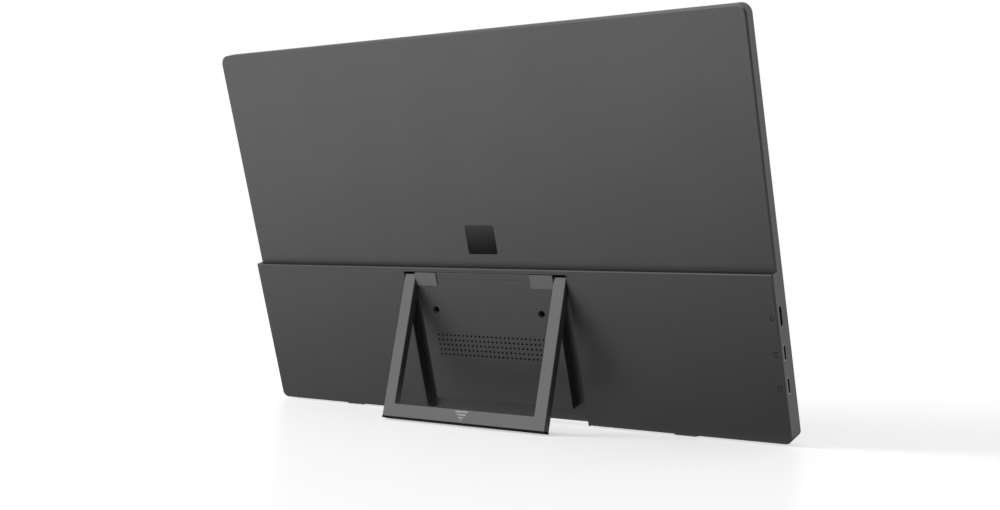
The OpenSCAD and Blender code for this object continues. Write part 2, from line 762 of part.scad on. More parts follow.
// The cover over a hinge: a cap with skirts and a slot that the shaft passes
module hinge_cover(side) {
    cap_t = 0.8;
    skirt = 0.7;
    x0 = island_half - cover_w;
    z0 = pocket_z + 0.1;
    color([0.42, 0.42, 0.43]) on_panel() mirror([side < 0 ? 1 : 0, 0, 0]) difference() {
        union() {
            difference() {
                block(x0, island_half, y_bay_floor + 0.05, cover_proud, z0, z0 + cover_h);
                block(x0 - 1, island_half - skirt, -big, cover_proud - cap_t, z0 - 1, z0 + cover_h + 1);
            }
            block(x0, island_half, axis_y + 0.6, cover_proud - cap_t + eps, z0, z0 + 0.5);
            block(x0, island_half, axis_y + 0.6, cover_proud - cap_t + eps, z0 + cover_h - 0.5, z0 + cover_h);
            block(x0, x0 + 0.5, axis_y + 0.6, cover_proud - cap_t + eps, z0, z0 + cover_h);
        }
        x_rod(axis_y, axis_z, island_half - skirt - 1, island_half + 1, shaft_r + 0.2);
        block(island_half - skirt - 1, island_half + 1, -big, axis_y, axis_z - shaft_r - 0.2,
            axis_z + shaft_r + 0.2);
        block(barrel_x - 1, barrel_x + barrel_l + 0.2, -big, axis_y + 0.8, z0 - 1, z0 + cover_h + 1);
    }
}
module hinge_cover_left() { hinge_cover(1); }
module hinge_cover_right() { hinge_cover(-1); }

// The stand is drawn hanging down from the hinge axis, then swung open
module on_stand() {
    on_panel() translate([0, axis_y, axis_z]) rotate([open_angle, 0, 0]) children();
}
module shaft_solid(x0, x1, r, flat) {
    difference() {
        x_rod(0, 0, x0, x1, r);
        block(x0 - 1, x1 + 1, r - flat, r + 1, -r - 1, r + 1);
    }
}
module stand_chamfers() {
    for (y = [-stand_t / 2, stand_t / 2]) {
        for (x = [-half_stand, -half_inner, half_inner, half_stand])
            translate([x, y, abs(x) == half_stand ? -big : -bar_top]) linear_extrude(2 * big)
                edge_bar(stand_c);
        run(-half_inner, half_inner) translate([y, -bar_top]) edge_bar(stand_c);
        run(-big, big) translate([y, leg_top]) edge_bar(stand_c);
    }
}
module stand_frame() {
    h = leg_len + leg_top - strip_h;
    color([0.45, 0.45, 0.46]) on_stand() difference() {
        union() {
            difference() {
                translate([0, 0, -leg_len + strip_h]) plate(-stand_t / 2, stand_t / 2) difference() {
                    outline(stand_w, h, stand_corner);
                    translate([-half_inner, bar_h - strip_h]) square([2 * half_inner, h]);
                }
                stand_chamfers();
            }
            for (s = [-1, 1]) x_rod(0, -bar_top, s * nub_x - nub_l / 2, s * nub_x + nub_l / 2, nub_r);
        }
        both_sides() shaft_solid(half_inner - 1, half_inner + shaft_grip, shaft_r + 0.02, shaft_flat);
        block(-half_stand + 4, half_stand - 4, -strip_tongue_t / 2, strip_tongue_t / 2,
            -leg_len, -leg_len + strip_h + strip_tongue);
    }
}
module stand_foot_strip() {
    tongue = strip_tongue_t / 2 - 0.05;
    color([0.07, 0.07, 0.07]) on_stand() {
        block(-half_stand, half_stand, -stand_t / 2, stand_t / 2, -leg_len, -leg_len + strip_h - 0.02);
        block(-half_stand + 4.1, half_stand - 4.1, -tongue, tongue,
            -leg_len + 0.1, -leg_len + strip_h + strip_tongue - 0.1);
    }
}

module hinge_shaft(side) {
    end_x = barrel_x - 2 * washer_t - nut_t - 0.5;
    color([0.7, 0.7, 0.72]) on_stand() mirror([side < 0 ? 1 : 0, 0, 0]) {
        shaft_solid(half_inner - 0.3, half_inner + shaft_grip - 0.2, shaft_r, shaft_flat);
        x_rod(0, 0, barrel_x - 0.02, half_inner - 0.3 + eps, shaft_r);
        x_rod(0, 0, end_x, barrel_x, shaft_r - 0.25);
        x_rod(0, 0, barrel_x + barrel_l + 0.05, barrel_x + barrel_l + 0.25, shaft_r + 0.35);
    }
}
module hinge_shaft_left() { hinge_shaft(1); }
module hinge_shaft_right() { hinge_shaft(-1); }

module friction_washers() {
    color([0.65, 0.65, 0.67]) on_stand() both_sides() for (i = [0, 1]) difference() {
        x_rod(0, 0, barrel_x - (i + 1) * (washer_t + 0.03), barrel_x - i * washer_t - (i + 1) * 0.03,
            barrel_d / 2 - 0.1);
        x_rod(0, 0, barrel_x - 5, barrel_x + 1, shaft_r - 0.23);
    }
}
module shaft_nuts() {
    x1 = barrel_x - 0.06 - 2 * washer_t;
    color([0.6, 0.6, 0.62]) on_stand() both_sides() difference() {
        translate([x1 - nut_t, 0, 0]) rotate([0, 90, 0]) cylinder(h = nut_t, r = 1.65, $fn = 6);
        x_rod(0, 0, x1 - nut_t - 1, x1 + 1, shaft_r - 0.23);
    }
}

front_bezel();
display_glass();
light_guide();
backlight_tray();
rear_cover();
stand_bay();
badge_inlay();
mount_inserts();
rubber_foot_left();
rubber_foot_right();
main_board();
heat_spreader();
port_board();
button_board();
timing_board();
video_port();
upper_port();
lower_port();
headphone_jack();
board_cable();
button_cable();
display_cable();
board_screws();
speaker_left();
speaker_right();
power_switch();
rocker_switches();
hinge_bracket_left();
hinge_bracket_right();
hinge_cover_left();
hinge_cover_right();
hinge_screws();
stand_frame();
stand_foot_strip();
hinge_shaft_left();
hinge_shaft_right();
friction_washers();
shaft_nuts();
power_button();
menu_rocker();
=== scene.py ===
"""The looks of a portable monitor on a fold-out stand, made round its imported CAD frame.

Lengths are in millimetres in the part's own two systems, and PANEL and STAND turn them
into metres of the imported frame.
Panel system: x along the width, y out of the back, z up the panel, from its bottom edge.
Stand system: the same axes turned with the open stand, from the hinge axis.
"""
import json
from math import radians

import bmesh
import bpy
from mathutils import Matrix, Vector


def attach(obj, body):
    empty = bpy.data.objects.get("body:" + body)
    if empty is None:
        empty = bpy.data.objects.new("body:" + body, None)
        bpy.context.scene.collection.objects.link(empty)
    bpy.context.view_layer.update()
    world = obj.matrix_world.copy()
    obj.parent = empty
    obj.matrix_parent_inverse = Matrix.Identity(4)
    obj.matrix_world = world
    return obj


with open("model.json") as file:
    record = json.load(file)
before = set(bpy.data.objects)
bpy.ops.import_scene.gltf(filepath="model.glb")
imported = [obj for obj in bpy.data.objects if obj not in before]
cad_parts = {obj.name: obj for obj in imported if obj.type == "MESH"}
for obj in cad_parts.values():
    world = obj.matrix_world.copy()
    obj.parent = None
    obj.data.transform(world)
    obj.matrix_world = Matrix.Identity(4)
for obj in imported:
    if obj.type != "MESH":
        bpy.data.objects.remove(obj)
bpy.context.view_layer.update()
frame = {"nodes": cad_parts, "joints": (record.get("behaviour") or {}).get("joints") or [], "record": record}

MM = 0.001
scene = bpy.context.scene
nodes = frame["nodes"]
mounts = {m["name"]: m for m in frame["record"]["mounts"]}
stand_hinge = next(j for j in frame["joints"] if j["name"] == "stand_hinge")

# Sizes repeated from the part's source, in mm
BODY_W = 360
AXIS_Y, AXIS_Z = -2.3, 84.4
STAND_T = 4.6
OPEN_ANGLE = 30
PORT_Y = -4.4
VIDEO_Z, UPPER_Z, LOWER_Z = 68, 48.7, 30.8
POWER_Z, ROCKER_Z = 74, 52
BADGE_H, BADGE_Z = 17, 98
VENT_Z = 43.6
MAIN_BOARD_Y = -6.4
TIMING_BOARD_Y, TIMING_BOARD_Z = -10.1, 8

# The panel leans, so its own axes come from the back face and the hinge
ALONG = Vector((1, 0, 0))
OUT = Vector(mounts["back_face"]["axis"]).normalized()
UP = ALONG.cross(OUT)
HINGE = Vector(stand_hinge["pos_m"])


def axes_at(origin, x, y, z):
    """A matrix with these axes as its columns, at this origin."""
    turned = Matrix((x, y, z)).transposed().to_4x4()
    return Matrix.Translation(origin) @ turned


TO_METRES = Matrix.Scale(MM, 4)
PANEL = axes_at(HINGE - (OUT * AXIS_Y + UP * AXIS_Z) * MM, ALONG, OUT, UP) @ TO_METRES
STAND = axes_at(HINGE, ALONG, OUT, UP) @ Matrix.Rotation(radians(OPEN_ANGLE), 4, "X") @ TO_METRES


def panel_point(x, y, z):
    """A point given in the panel's own mm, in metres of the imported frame."""
    return PANEL @ Vector((x, y, z))


# Camera

CAMERA_AT = Vector((-0.4839, 0.6483, 0.1086))
CAMERA_RIGHT = Vector((-0.8084, -0.5887, 0.0021))
CAMERA_BACK = Vector((-0.5885, 0.8084, 0.0159))
SENSOR_W = 36
CAMERA_LENS = 51.13


def make_camera():
    """The photograph's place and angle, behind the monitor and to its right."""
    data = bpy.data.cameras.new("photo_camera")
    data.sensor_width = SENSOR_W
    data.lens = CAMERA_LENS
    data.clip_start, data.clip_end = 0.02, 50
    camera = bpy.data.objects.new("photo_camera", data)
    up = CAMERA_BACK.cross(CAMERA_RIGHT)
    camera.matrix_world = axes_at(CAMERA_AT, CAMERA_RIGHT, up, CAMERA_BACK)
    scene.collection.objects.link(camera)
    scene.camera = camera


make_camera()


# Wiring of shader nodes

def add(tree, kind, inputs=None, **settings):
    """One shader node, with its settings and with a value or a link for each input."""
    made = tree.nodes.new("ShaderNode" + kind)
    for name, value in settings.items():
        setattr(made, name, value)
    for socket, value in (inputs or {}).items():
        if isinstance(value, bpy.types.NodeSocket):
            tree.links.new(value, made.inputs[socket])
        else:
            made.inputs[socket].default_value = value
    return made


def maths(tree, operation, *values, clamp=False):
    """The result of a Math node on these values or sockets."""
    inputs = dict(enumerate(values))
    return add(tree, "Math", inputs, operation=operation, use_clamp=clamp).outputs[0]


def remap(tree, value, low, high, to_low=0.0, to_high=1.0):
    """value, taken from low..high to to_low..to_high and held there."""
    inputs = {"Value": value, "From Min": low, "From Max": high,
              "To Min": to_low, "To Max": to_high}
    return add(tree, "MapRange", inputs).outputs["Result"]


def mix_colour(tree, factor, first, second):
    """first and second mixed by factor. The sockets are counted, because their names repeat."""
    inputs = {0: factor, 6: first, 7: second}
    return add(tree, "Mix", data_type="RGBA", inputs=inputs).outputs[2]


def surface_point(tree):
    """The point of the surface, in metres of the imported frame."""
    return add(tree, "TexCoord").outputs["Object"]


def from_point(tree, start):
    """The way from start to the point of the surface."""
    inputs = {0: surface_point(tree), 1: start}
    return add(tree, "VectorMath", inputs, operation="SUBTRACT").outputs[0]


def along(tree, vector, direction):
    """How far vector reaches in a direction."""
    inputs = {0: vector, 1: direction}
    return add(tree, "VectorMath", inputs, operation="DOT_PRODUCT").outputs["Value"]


def fineness(tree, size):
    """The texture scale at which features are size mm across."""
    return maths(tree, "DIVIDE", 1 / MM, size)


def noise(tree, size, detail, roughness=0.5, distortion=0.0, place=None):
    """Noise from 0 to 1 with features about size mm across."""
    if place is None:
        place = surface_point(tree)
    inputs = {"Vector": place, "Scale": fineness(tree, size), "Detail": detail,
              "Roughness": roughness, "Distortion": distortion}
    return add(tree, "TexNoise", inputs).outputs["Fac"]


def linear(level):
    """The linear value of a display grey from 0 to 255."""
    share = level / 255
    return share / 12.92 if share <= 0.04045 else ((share + 0.055) / 1.055) ** 2.4


def grey(level):
    """A neutral colour of this display grey."""
    value = linear(level)
    return (value, value, value, 1)


def shaded(colour, factor):
    """A colour made this many times as bright, up to white."""
    return tuple(min(c * factor, 1) for c in colour[:3]) + (1,)


# Shared effects, each a group with named inputs and outputs

def new_group(name, inputs, outputs):
    """An empty group tree. inputs give (name, kind, default), outputs give (name, kind)."""
    tree = bpy.data.node_groups.new(name, "ShaderNodeTree")
    for label, kind, default in inputs:
        kind_name = "NodeSocket" + kind
        socket = tree.interface.new_socket(label, in_out="INPUT", socket_type=kind_name)
        socket.default_value = default
    for label, kind in outputs:
        tree.interface.new_socket(label, in_out="OUTPUT", socket_type="NodeSocket" + kind)
    given = tree.nodes.new("NodeGroupInput").outputs
    sent = tree.nodes.new("NodeGroupOutput").inputs
    return tree, given, sent


def make_fine_grain():
    """The satin grain of a moulded or painted face, and slow drifts in its tone."""
    tree, given, sent = new_group(
        "fine_grain",
        [("Grain Size", "Float", 0.25), ("Drift Size", "Float", 40.0)],
        [("Height", "Float"), ("Tone", "Float"), ("Drift", "Float")],
    )
    grain = noise(tree, given["Grain Size"], 2.0, 0.55)
    drift = noise(tree, given["Drift Size"], 1.0, 0.55)
    tree.links.new(grain, sent["Height"])
    tree.links.new(remap(tree, grain, 0.3, 0.7), sent["Tone"])
    tree.links.new(remap(tree, drift, 0.3, 0.7), sent["Drift"])
    return tree


def make_edge_finish():
    """Edges rounded by a small radius, and a mask of where they are, broken up in patches by noise. The
    finishes paint a highlight along this mask.
    """
    tree, given, sent = new_group(
        "edge_finish",
        [("Radius", "Float", 0.2), ("Patch Size", "Float", 6.0)],
        [("Edge", "Float"), ("Normal", "Vector")],
    )
    radius = maths(tree, "MULTIPLY", given["Radius"], MM)
    rounded = add(tree, "Bevel", {"Radius": radius}, samples=4).outputs["Normal"]
    plain = add(tree, "NewGeometry").outputs["Normal"]
    bend = remap(tree, along(tree, rounded, plain), 1.0, 0.86)
    kept = remap(tree, noise(tree, given["Patch Size"], 3.0), 0.35, 0.6, 0.35, 1.0)
    tree.links.new(maths(tree, "MULTIPLY", bend, kept, clamp=True), sent["Edge"])
    tree.links.new(rounded, sent["Normal"])
    return tree


def make_dust():
    """Fine dust that settles on faces that look up."""
    tree, given, sent = new_group(
        "dust",
        [("Amount", "Float", 0.2), ("Speck Size", "Float", 0.6)],
        [("Dust", "Float")],
    )
    normal = add(tree, "NewGeometry").outputs["Normal"]
    upward = remap(tree, add(tree, "SeparateXYZ", {0: normal}).outputs["Z"], 0.55, 0.98)
    specks = remap(tree, noise(tree, given["Speck Size"], 4.0), 0.42, 0.68)
    settled = maths(tree, "MULTIPLY", upward, specks)
    tree.links.new(maths(tree, "MULTIPLY", settled, given["Amount"], clamp=True), sent["Dust"])
    return tree


def make_touch_marks():
    """Faint smears of handling, as a change of gloss around a base roughness."""
    tree, given, sent = new_group(
        "touch_marks",
        [("Roughness", "Float", 0.45), ("Spread", "Float", 0.05), ("Smear Size", "Float", 30.0)],
        [("Roughness", "Float")],
    )
    inputs = {"Vector": surface_point(tree), "Rotation": (0.4, 0.9, 0.3), "Scale": (1.0, 1.0, 0.35)}
    drawn = add(tree, "Mapping", inputs).outputs[0]
    smears = noise(tree, given["Smear Size"], 5.0, 0.6, 0.6, drawn)
    shift = maths(tree, "MULTIPLY", remap(tree, smears, 0.35, 0.7, -1.0, 1.0), given["Spread"])
    tree.links.new(maths(tree, "ADD", given["Roughness"], shift, clamp=True), sent["Roughness"])
    return tree


def make_tool_lines():
    """Fine parallel lines of turning, grinding or drawing, across one direction."""
    tree, given, sent = new_group(
        "tool_lines",
        [("Across", "Vector", (1.0, 0.0, 0.0)), ("Pitch", "Float", 0.15)],
        [("Height", "Float"), ("Tone", "Float")],
    )
    across = along(tree, surface_point(tree), given["Across"])
    stepped = maths(tree, "DIVIDE", across, maths(tree, "MULTIPLY", given["Pitch"], MM))
    inputs = {"W": stepped, "Scale": 1.0, "Detail": 3.0}
    lines = add(tree, "TexNoise", noise_dimensions="1D", inputs=inputs).outputs["Fac"]
    tree.links.new(lines, sent["Height"])
    tree.links.new(remap(tree, lines, 0.3, 0.7), sent["Tone"])
    return tree


def make_region():
    """A mask that is 1 inside a box whose sides follow the leaning panel."""
    tree, given, sent = new_group(
        "region",
        [("Middle", "Vector", (0.0, 0.0, 0.0)), ("Half Size", "Vector", (1.0, 1.0, 1.0))],
        [("Inside", "Float")],
    )
    apart = from_point(tree, given["Middle"])
    half = add(tree, "SeparateXYZ", {0: given["Half Size"]}).outputs
    inside = 1.0
    for axis, limit in zip((ALONG, OUT, UP), half):
        far = maths(tree, "ABSOLUTE", along(tree, apart, tuple(axis)))
        inside = maths(tree, "MULTIPLY", inside, maths(tree, "LESS_THAN", far, limit))
    tree.links.new(inside, sent["Inside"])
    return tree


def make_copper_tracks():
    """A circuit board's tracks and pads under its green lacquer."""
    tree, given, sent = new_group(
        "copper_tracks",
        [("Track Pitch", "Float", 1.2)],
        [("Track", "Float")],
    )
    place = surface_point(tree)
    x = add(tree, "SeparateXYZ", {0: place}).outputs["X"]
    flat = add(tree, "CombineXYZ", {"X": x, "Y": along(tree, place, tuple(UP))}).outputs[0]
    inputs = {"Vector": flat, "Scale": fineness(tree, given["Track Pitch"]), "Randomness": 0.9}
    cells = add(tree, "TexVoronoi", distance="CHEBYCHEV", feature="F1", inputs=inputs)
    tree.links.new(remap(tree, cells.outputs["Distance"], 0.28, 0.34), sent["Track"])
    return tree


fine_grain = make_fine_grain()
edge_finish = make_edge_finish()
dust = make_dust()
touch_marks = make_touch_marks()
tool_lines = make_tool_lines()
region = make_region()
copper_tracks = make_copper_tracks()


def use(tree, group, **inputs):
    """A group placed in a material. Underscores in the input names stand for spaces."""
    made = tree.nodes.new("ShaderNodeGroup")
    made.node_tree = group
    for label, value in inputs.items():
        socket = made.inputs[label.replace("_", " ")]
        if isinstance(value, bpy.types.NodeSocket):
            tree.links.new(value, socket)
        else:
            socket.default_value = value
    return made.outputs


def new_finish(name, **plain):
    """A material with one Principled shader. plain values go straight on its sockets."""
    material = bpy.data.materials.new(name)
    material.use_nodes = True
    shader = material.node_tree.nodes["Principled BSDF"]
    for label, value in plain.items():
        shader.inputs[label.replace("_", " ")].default_value = value
    return material, material.node_tree, shader


def bumped(tree, height, depth, normal=None):
    """A normal raised by height, whose full scale is depth in mm."""
    inputs = {"Strength": 1.0, "Distance": depth * MM, "Height": height}
    if normal is not None:
        inputs["Normal"] = normal
    return add(tree, "Bump", inputs).outputs["Normal"]


# Finishes

def surface_finish(name, colour, roughness, metallic=0.0, grain=0.25, edge=0.2, edge_light=1.15,
                   dusty=0.06, **plain):
    """A moulded or painted face: grain, slow drifts of tone, a painted highlight along the edges, smears and
    dust.
    """
    material, tree, shader = new_finish(name, Metallic=metallic, **plain)
    satin = use(tree, fine_grain, Grain_Size=grain)
    edges = use(tree, edge_finish, Radius=edge)
    settled = use(tree, dust, Amount=dusty)
    light = shaded(colour, 1.02)
    shade = mix_colour(tree, satin["Drift"], shaded(colour, 0.98), light)
    speckled = mix_colour(tree, maths(tree, "MULTIPLY", satin["Tone"], 0.25), shade, light)
    # Painted highlight: the edges are mixed towards a lighter copy of the colour.
    edge_highlighted = mix_colour(tree, edges["Edge"], speckled, shaded(colour, edge_light))
    dusted = mix_colour(tree, settled["Dust"], edge_highlighted, grey(190))
    tree.links.new(dusted, shader.inputs["Base Color"])
    gloss = use(tree, touch_marks, Roughness=roughness, Spread=0.02)
    tree.links.new(gloss["Roughness"], shader.inputs["Roughness"])
    raised = bumped(tree, satin["Height"], 0.003, edges["Normal"])
    tree.links.new(raised, shader.inputs["Normal"])
    return material


def metal_finish(name, colour, roughness, across, pitch):
    """Bare or plated metal with the fine lines its making leaves, and a painted highlight along its edges.
    """
    material, tree, shader = new_finish(name, Metallic=1.0)
    lines = use(tree, tool_lines, Across=across, Pitch=pitch)
    edges = use(tree, edge_finish, Radius=0.08)
    drawn = mix_colour(tree, lines["Tone"], shaded(colour, 0.75), colour)
    # Painted highlight: the edges are mixed towards near white.
    edge_highlighted = mix_colour(tree, edges["Edge"], drawn, grey(235))
    tree.links.new(edge_highlighted, shader.inputs["Base Color"])
    gloss = use(tree, touch_marks, Roughness=roughness, Spread=0.06, Smear_Size=4.0)
    tree.links.new(gloss["Roughness"], shader.inputs["Roughness"])
    raised = bumped(tree, lines["Height"], 0.003, edges["Normal"])
    tree.links.new(raised, shader.inputs["Normal"])
    return material


def socket_finish(name, shell, tongue_at, tongue_half):
    """A socket's plated shell with a painted highlight along its edges, and the black plastic tongue inside
    it.
    """
    material, tree, shader = new_finish(name)
    lines = use(tree, tool_lines, Across=(1.0, 0.0, 0.0), Pitch=0.2)
    edges = use(tree, edge_finish, Radius=0.06)
    tongue = use(tree, region, Middle=tongue_at, Half_Size=tongue_half)["Inside"]
    drawn = mix_colour(tree, lines["Tone"], shaded(shell, 0.8), shell)
    # Painted highlight: the shell's edges are mixed towards near white.
    edge_highlighted = mix_colour(tree, edges["Edge"], drawn, grey(238))
    tree.links.new(mix_colour(tree, tongue, edge_highlighted, grey(26)), shader.inputs["Base Color"])
    tree.links.new(maths(tree, "SUBTRACT", 1.0, tongue), shader.inputs["Metallic"])
    tree.links.new(remap(tree, tongue, 0.0, 1.0, 0.28, 0.55), shader.inputs["Roughness"])
    raised = bumped(tree, lines["Height"], 0.002, edges["Normal"])
    tree.links.new(raised, shader.inputs["Normal"])
    return material


def key_finish(name, colour, face_at):
    """The power key: satin like the housing, with a printed ring in the middle of its face."""
    metallic, ring_radius, ring_half = 0.85, 0.82 * MM, 0.1 * MM
    material = surface_finish(name, colour, 0.40, metallic=metallic, grain=0.15, edge=0.25)
    tree = material.node_tree
    shader = tree.nodes["Principled BSDF"]
    inputs = {0: surface_point(tree), 1: face_at}
    far = add(tree, "VectorMath", inputs, operation="DISTANCE").outputs["Value"]
    off = maths(tree, "ABSOLUTE", maths(tree, "SUBTRACT", far, ring_radius))
    printed = remap(tree, off, ring_half, ring_half * 1.4, 1.0, 0.0)
    painted = shader.inputs["Base Color"].links[0].from_socket
    tree.links.new(mix_colour(tree, printed, painted, grey(176)), shader.inputs["Base Color"])
    tree.links.new(remap(tree, printed, 0.0, 1.0, metallic, 0.0), shader.inputs["Metallic"])
    return material


def rubber_finish(name, colour):
    """Matt moulded rubber with a coarse grain, a slight paler bloom and a painted highlight along its edges.
    """
    material, tree, shader = new_finish(name, Specular_IOR_Level=0.2)
    grain = use(tree, fine_grain, Grain_Size=0.35, Drift_Size=8.0)
    edges = use(tree, edge_finish, Radius=0.3)
    settled = use(tree, dust, Amount=0.1)
    bloom = maths(tree, "MULTIPLY", grain["Drift"], 0.5)
    bloomed = mix_colour(tree, bloom, colour, shaded(colour, 1.35))
    # Painted highlight: the edges are made lighter.
    edge_light_share = maths(tree, "MULTIPLY", edges["Edge"], 0.3)
    edge_highlighted = mix_colour(tree, edge_light_share, bloomed, shaded(colour, 2.0))
    dusted = mix_colour(tree, settled["Dust"], edge_highlighted, grey(150))
    tree.links.new(dusted, shader.inputs["Base Color"])
    tree.links.new(remap(tree, grain["Tone"], 0.0, 1.0, 0.72, 0.9), shader.inputs["Roughness"])
    raised = bumped(tree, grain["Height"], 0.03, edges["Normal"])
    tree.links.new(raised, shader.inputs["Normal"])
    return material


def glass_finish(name):
    """The screen seen switched off: a dark face under a hard, slightly matted coat."""
    plain = {"Coat_Roughness": 0.16, "Coat_IOR": 1.5, "Specular_IOR_Level": 0.15}
    material, tree, shader = new_finish(name, **plain)
    deep, cell = (0.0045, 0.0045, 0.0055, 1), (0.008, 0.008, 0.010, 1)
    violet = (0.011, 0.010, 0.014, 1)
    sparkle = use(tree, fine_grain, Grain_Size=0.12, Drift_Size=120.0)
    settled = use(tree, dust, Amount=0.12)
    cells = mix_colour(tree, sparkle["Tone"], deep, cell)
    drifted = mix_colour(tree, maths(tree, "MULTIPLY", sparkle["Drift"], 0.3), cells, violet)
    dusted = mix_colour(tree, settled["Dust"], drifted, grey(150))
    tree.links.new(dusted, shader.inputs["Base Color"])
    gloss = use(tree, touch_marks, Roughness=0.22, Spread=0.05, Smear_Size=45.0)
    tree.links.new(gloss["Roughness"], shader.inputs["Roughness"])
    tree.links.new(remap(tree, sparkle["Drift"], 0.0, 1.0, 0.5, 0.6), shader.inputs["Coat Weight"])
    tree.links.new(bumped(tree, sparkle["Height"], 0.0012), shader.inputs["Normal"])
    return material


def badge_finish(name, low_at, tall):
    """The gloss black inlay, with a painted reflection that grows towards its top, a painted highlight on
    its edges, and faint swirls left by wiping.
    """
    plain = {"Coat_Roughness": 0.05, "Coat_IOR": 1.6, "Specular_IOR_Level": 0.1}
    material, tree, shader = new_finish(name, **plain)
    wiped = use(tree, touch_marks, Roughness=0.2, Spread=0.05, Smear_Size=9.0)
    grain = use(tree, fine_grain, Grain_Size=2.5, Drift_Size=12.0)
    edges = use(tree, edge_finish, Radius=0.12)
    # Painted reflection: the coat grows stronger towards the top, so the top mirrors more light.
    height = along(tree, from_point(tree, low_at), tuple(UP))
    painted_top_sheen = maths(tree, "POWER", remap(tree, height, 0.0, tall, 0.05, 1.0), 1.6)
    drifted = mix_colour(tree, grain["Drift"], grey(12), grey(17))
    # Painted highlight: the edges are mixed to a lighter grey.
    tree.links.new(mix_colour(tree, edges["Edge"], drifted, grey(40)), shader.inputs["Base Color"])
    tree.links.new(wiped["Roughness"], shader.inputs["Roughness"])
    tree.links.new(painted_top_sheen, shader.inputs["Coat Weight"])
    raised = bumped(tree, grain["Height"], 0.002, edges["Normal"])
    tree.links.new(raised, shader.inputs["Normal"])
    return material


def board_finish(name, slab_at, slab_half):
    """A circuit board: lacquered tracks on its two faces, and dark bodies standing on it."""
    wide = 1.0
    material, tree, shader = new_finish(name)
    tracks = use(tree, copper_tracks)
    green, pale_green = (0.006, 0.055, 0.028, 1), (0.018, 0.13, 0.06, 1)
    lacquer = mix_colour(tree, tracks["Track"], green, pale_green)
    board = use(tree, region, Middle=slab_at, Half_Size=(wide, slab_half, wide))["Inside"]
    grain = use(tree, fine_grain, Grain_Size=0.2, Drift_Size=3.0)
    body = mix_colour(tree, grain["Drift"], grey(28), grey(48))
    tree.links.new(mix_colour(tree, board, body, lacquer), shader.inputs["Base Color"])
    tree.links.new(remap(tree, board, 0.0, 1.0, 0.6, 0.3), shader.inputs["Roughness"])
    tree.links.new(bumped(tree, tracks["Track"], 0.03), shader.inputs["Normal"])
    return material


def clear_finish(name):
    """The light guide's milky acrylic, printed with fine dots."""
    material, tree, shader = new_finish(name, Transmission_Weight=0.6)
    grain = use(tree, fine_grain, Grain_Size=0.6, Drift_Size=60.0)
    dotted = mix_colour(tree, grain["Tone"], grey(225), grey(243))
    tree.links.new(dotted, shader.inputs["Base Color"])
    tree.links.new(remap(tree, grain["Drift"], 0.0, 1.0, 0.18, 0.3), shader.inputs["Roughness"])
    tree.links.new(bumped(tree, grain["Height"], 0.01), shader.inputs["Normal"])
    return material


def ink_finish(name, level, **plain):
    """Screen-printed ink, thin and slightly uneven."""
    material, tree, shader = new_finish(name, **plain)
    grain = use(tree, fine_grain, Grain_Size=0.15, Drift_Size=3.0)
    printed = mix_colour(tree, grain["Tone"], grey(level * 0.9), grey(level))
    tree.links.new(printed, shader.inputs["Base Color"])
    tree.links.new(remap(tree, grain["Drift"], 0.0, 1.0, 0.45, 0.6), shader.inputs["Roughness"])
    tree.links.new(bumped(tree, grain["Height"], 0.004), shader.inputs["Normal"])
    return material


def paint(name, level, roughness, metallic, edge_light=1.15):
    """The dark metallic paint of the housing and the stand, dull at its grazing rim."""
    rim = (0.5, 0.5, 0.5, 1)
    return surface_finish(name, grey(level), roughness, metallic, edge_light=edge_light, Specular_Tint=rim)


housing = paint("housing_satin", 103.5, 0.40, 0.95, edge_light=1.0)
bezel = paint("bezel_satin", 102, 0.42, 0.93)
stand_paint = paint("stand_satin", 116, 0.36, 0.96)
# The hinge covers carry the stand's paint, painted lighter to stand in for light, since they face down where
# the stand faces up.
cover_paint_lit = paint("cover_satin_lit", 130, 0.45, 0.93)
keys = surface_finish("key_satin", grey(92), 0.40, metallic=0.85, grain=0.15, edge=0.25)
power_face = tuple(panel_point(BODY_W / 2 + 0.2, PORT_Y, POWER_Z))
power_key = key_finish("power_key_satin", grey(92), power_face)
black_plastic = surface_finish("socket_plastic", grey(34), 0.5, grain=0.2, dusty=0.05)
speaker_case = surface_finish("speaker_plastic", grey(26), 0.6, grain=0.3, dusty=0.0)
ribbon = surface_finish("ribbon_film", grey(226), 0.35, grain=0.4, edge_light=1.0, dusty=0.05)
switch_case = surface_finish("switch_plastic", grey(92), 0.4, grain=0.2)
rubber = rubber_finish("foot_rubber_grey", grey(112))
dark_rubber = rubber_finish("strip_rubber_black", grey(13))
screen = glass_finish("screen_dark_glass")
badge = badge_finish("badge_gloss_black", tuple(panel_point(0, 0, BADGE_Z)), BADGE_H * MM)
guide = clear_finish("guide_acrylic")
ink = ink_finish("light_ink", 152)
dark_ink = ink_finish("dark_ink", 16, Specular_IOR_Level=0.1)

WIDTHWAYS = (1.0, 0.0, 0.0)
drawn_metal = metal_finish("tray_metal", grey(205), 0.35, WIDTHWAYS, pitch=0.4)
fins = metal_finish("spreader_anodised", grey(52), 0.4, tuple(UP), pitch=0.3)
zinc = metal_finish("screw_zinc", grey(170), 0.3, WIDTHWAYS, pitch=0.08)
steel = metal_finish("hinge_steel_ground", grey(176), 0.28, WIDTHWAYS, pitch=0.1)
dark_steel = metal_finish("insert_steel_dark", grey(118), 0.4, tuple(OUT), pitch=0.12)
gold = metal_finish("contact_gold", (0.80, 0.55, 0.20, 1), 0.25, WIDTHWAYS, pitch=0.2)


def port_finish(name, height, level):
    """A socket's finish, with its tongue at this height up the panel."""
    middle = tuple(panel_point(-BODY_W / 2 + 4.4, PORT_Y, height))
    return socket_finish(name, grey(level), middle, (3.6 * MM, 0.37 * MM, 4.05 * MM))


board_at = tuple(panel_point(0, MAIN_BOARD_Y, VENT_Z))
board_green = board_finish("board_lacquer", board_at, 0.52 * MM)
timing_at = tuple(panel_point(0, TIMING_BOARD_Y, TIMING_BOARD_Z))
timing_green = board_finish("timing_lacquer", timing_at, 0.42 * MM)

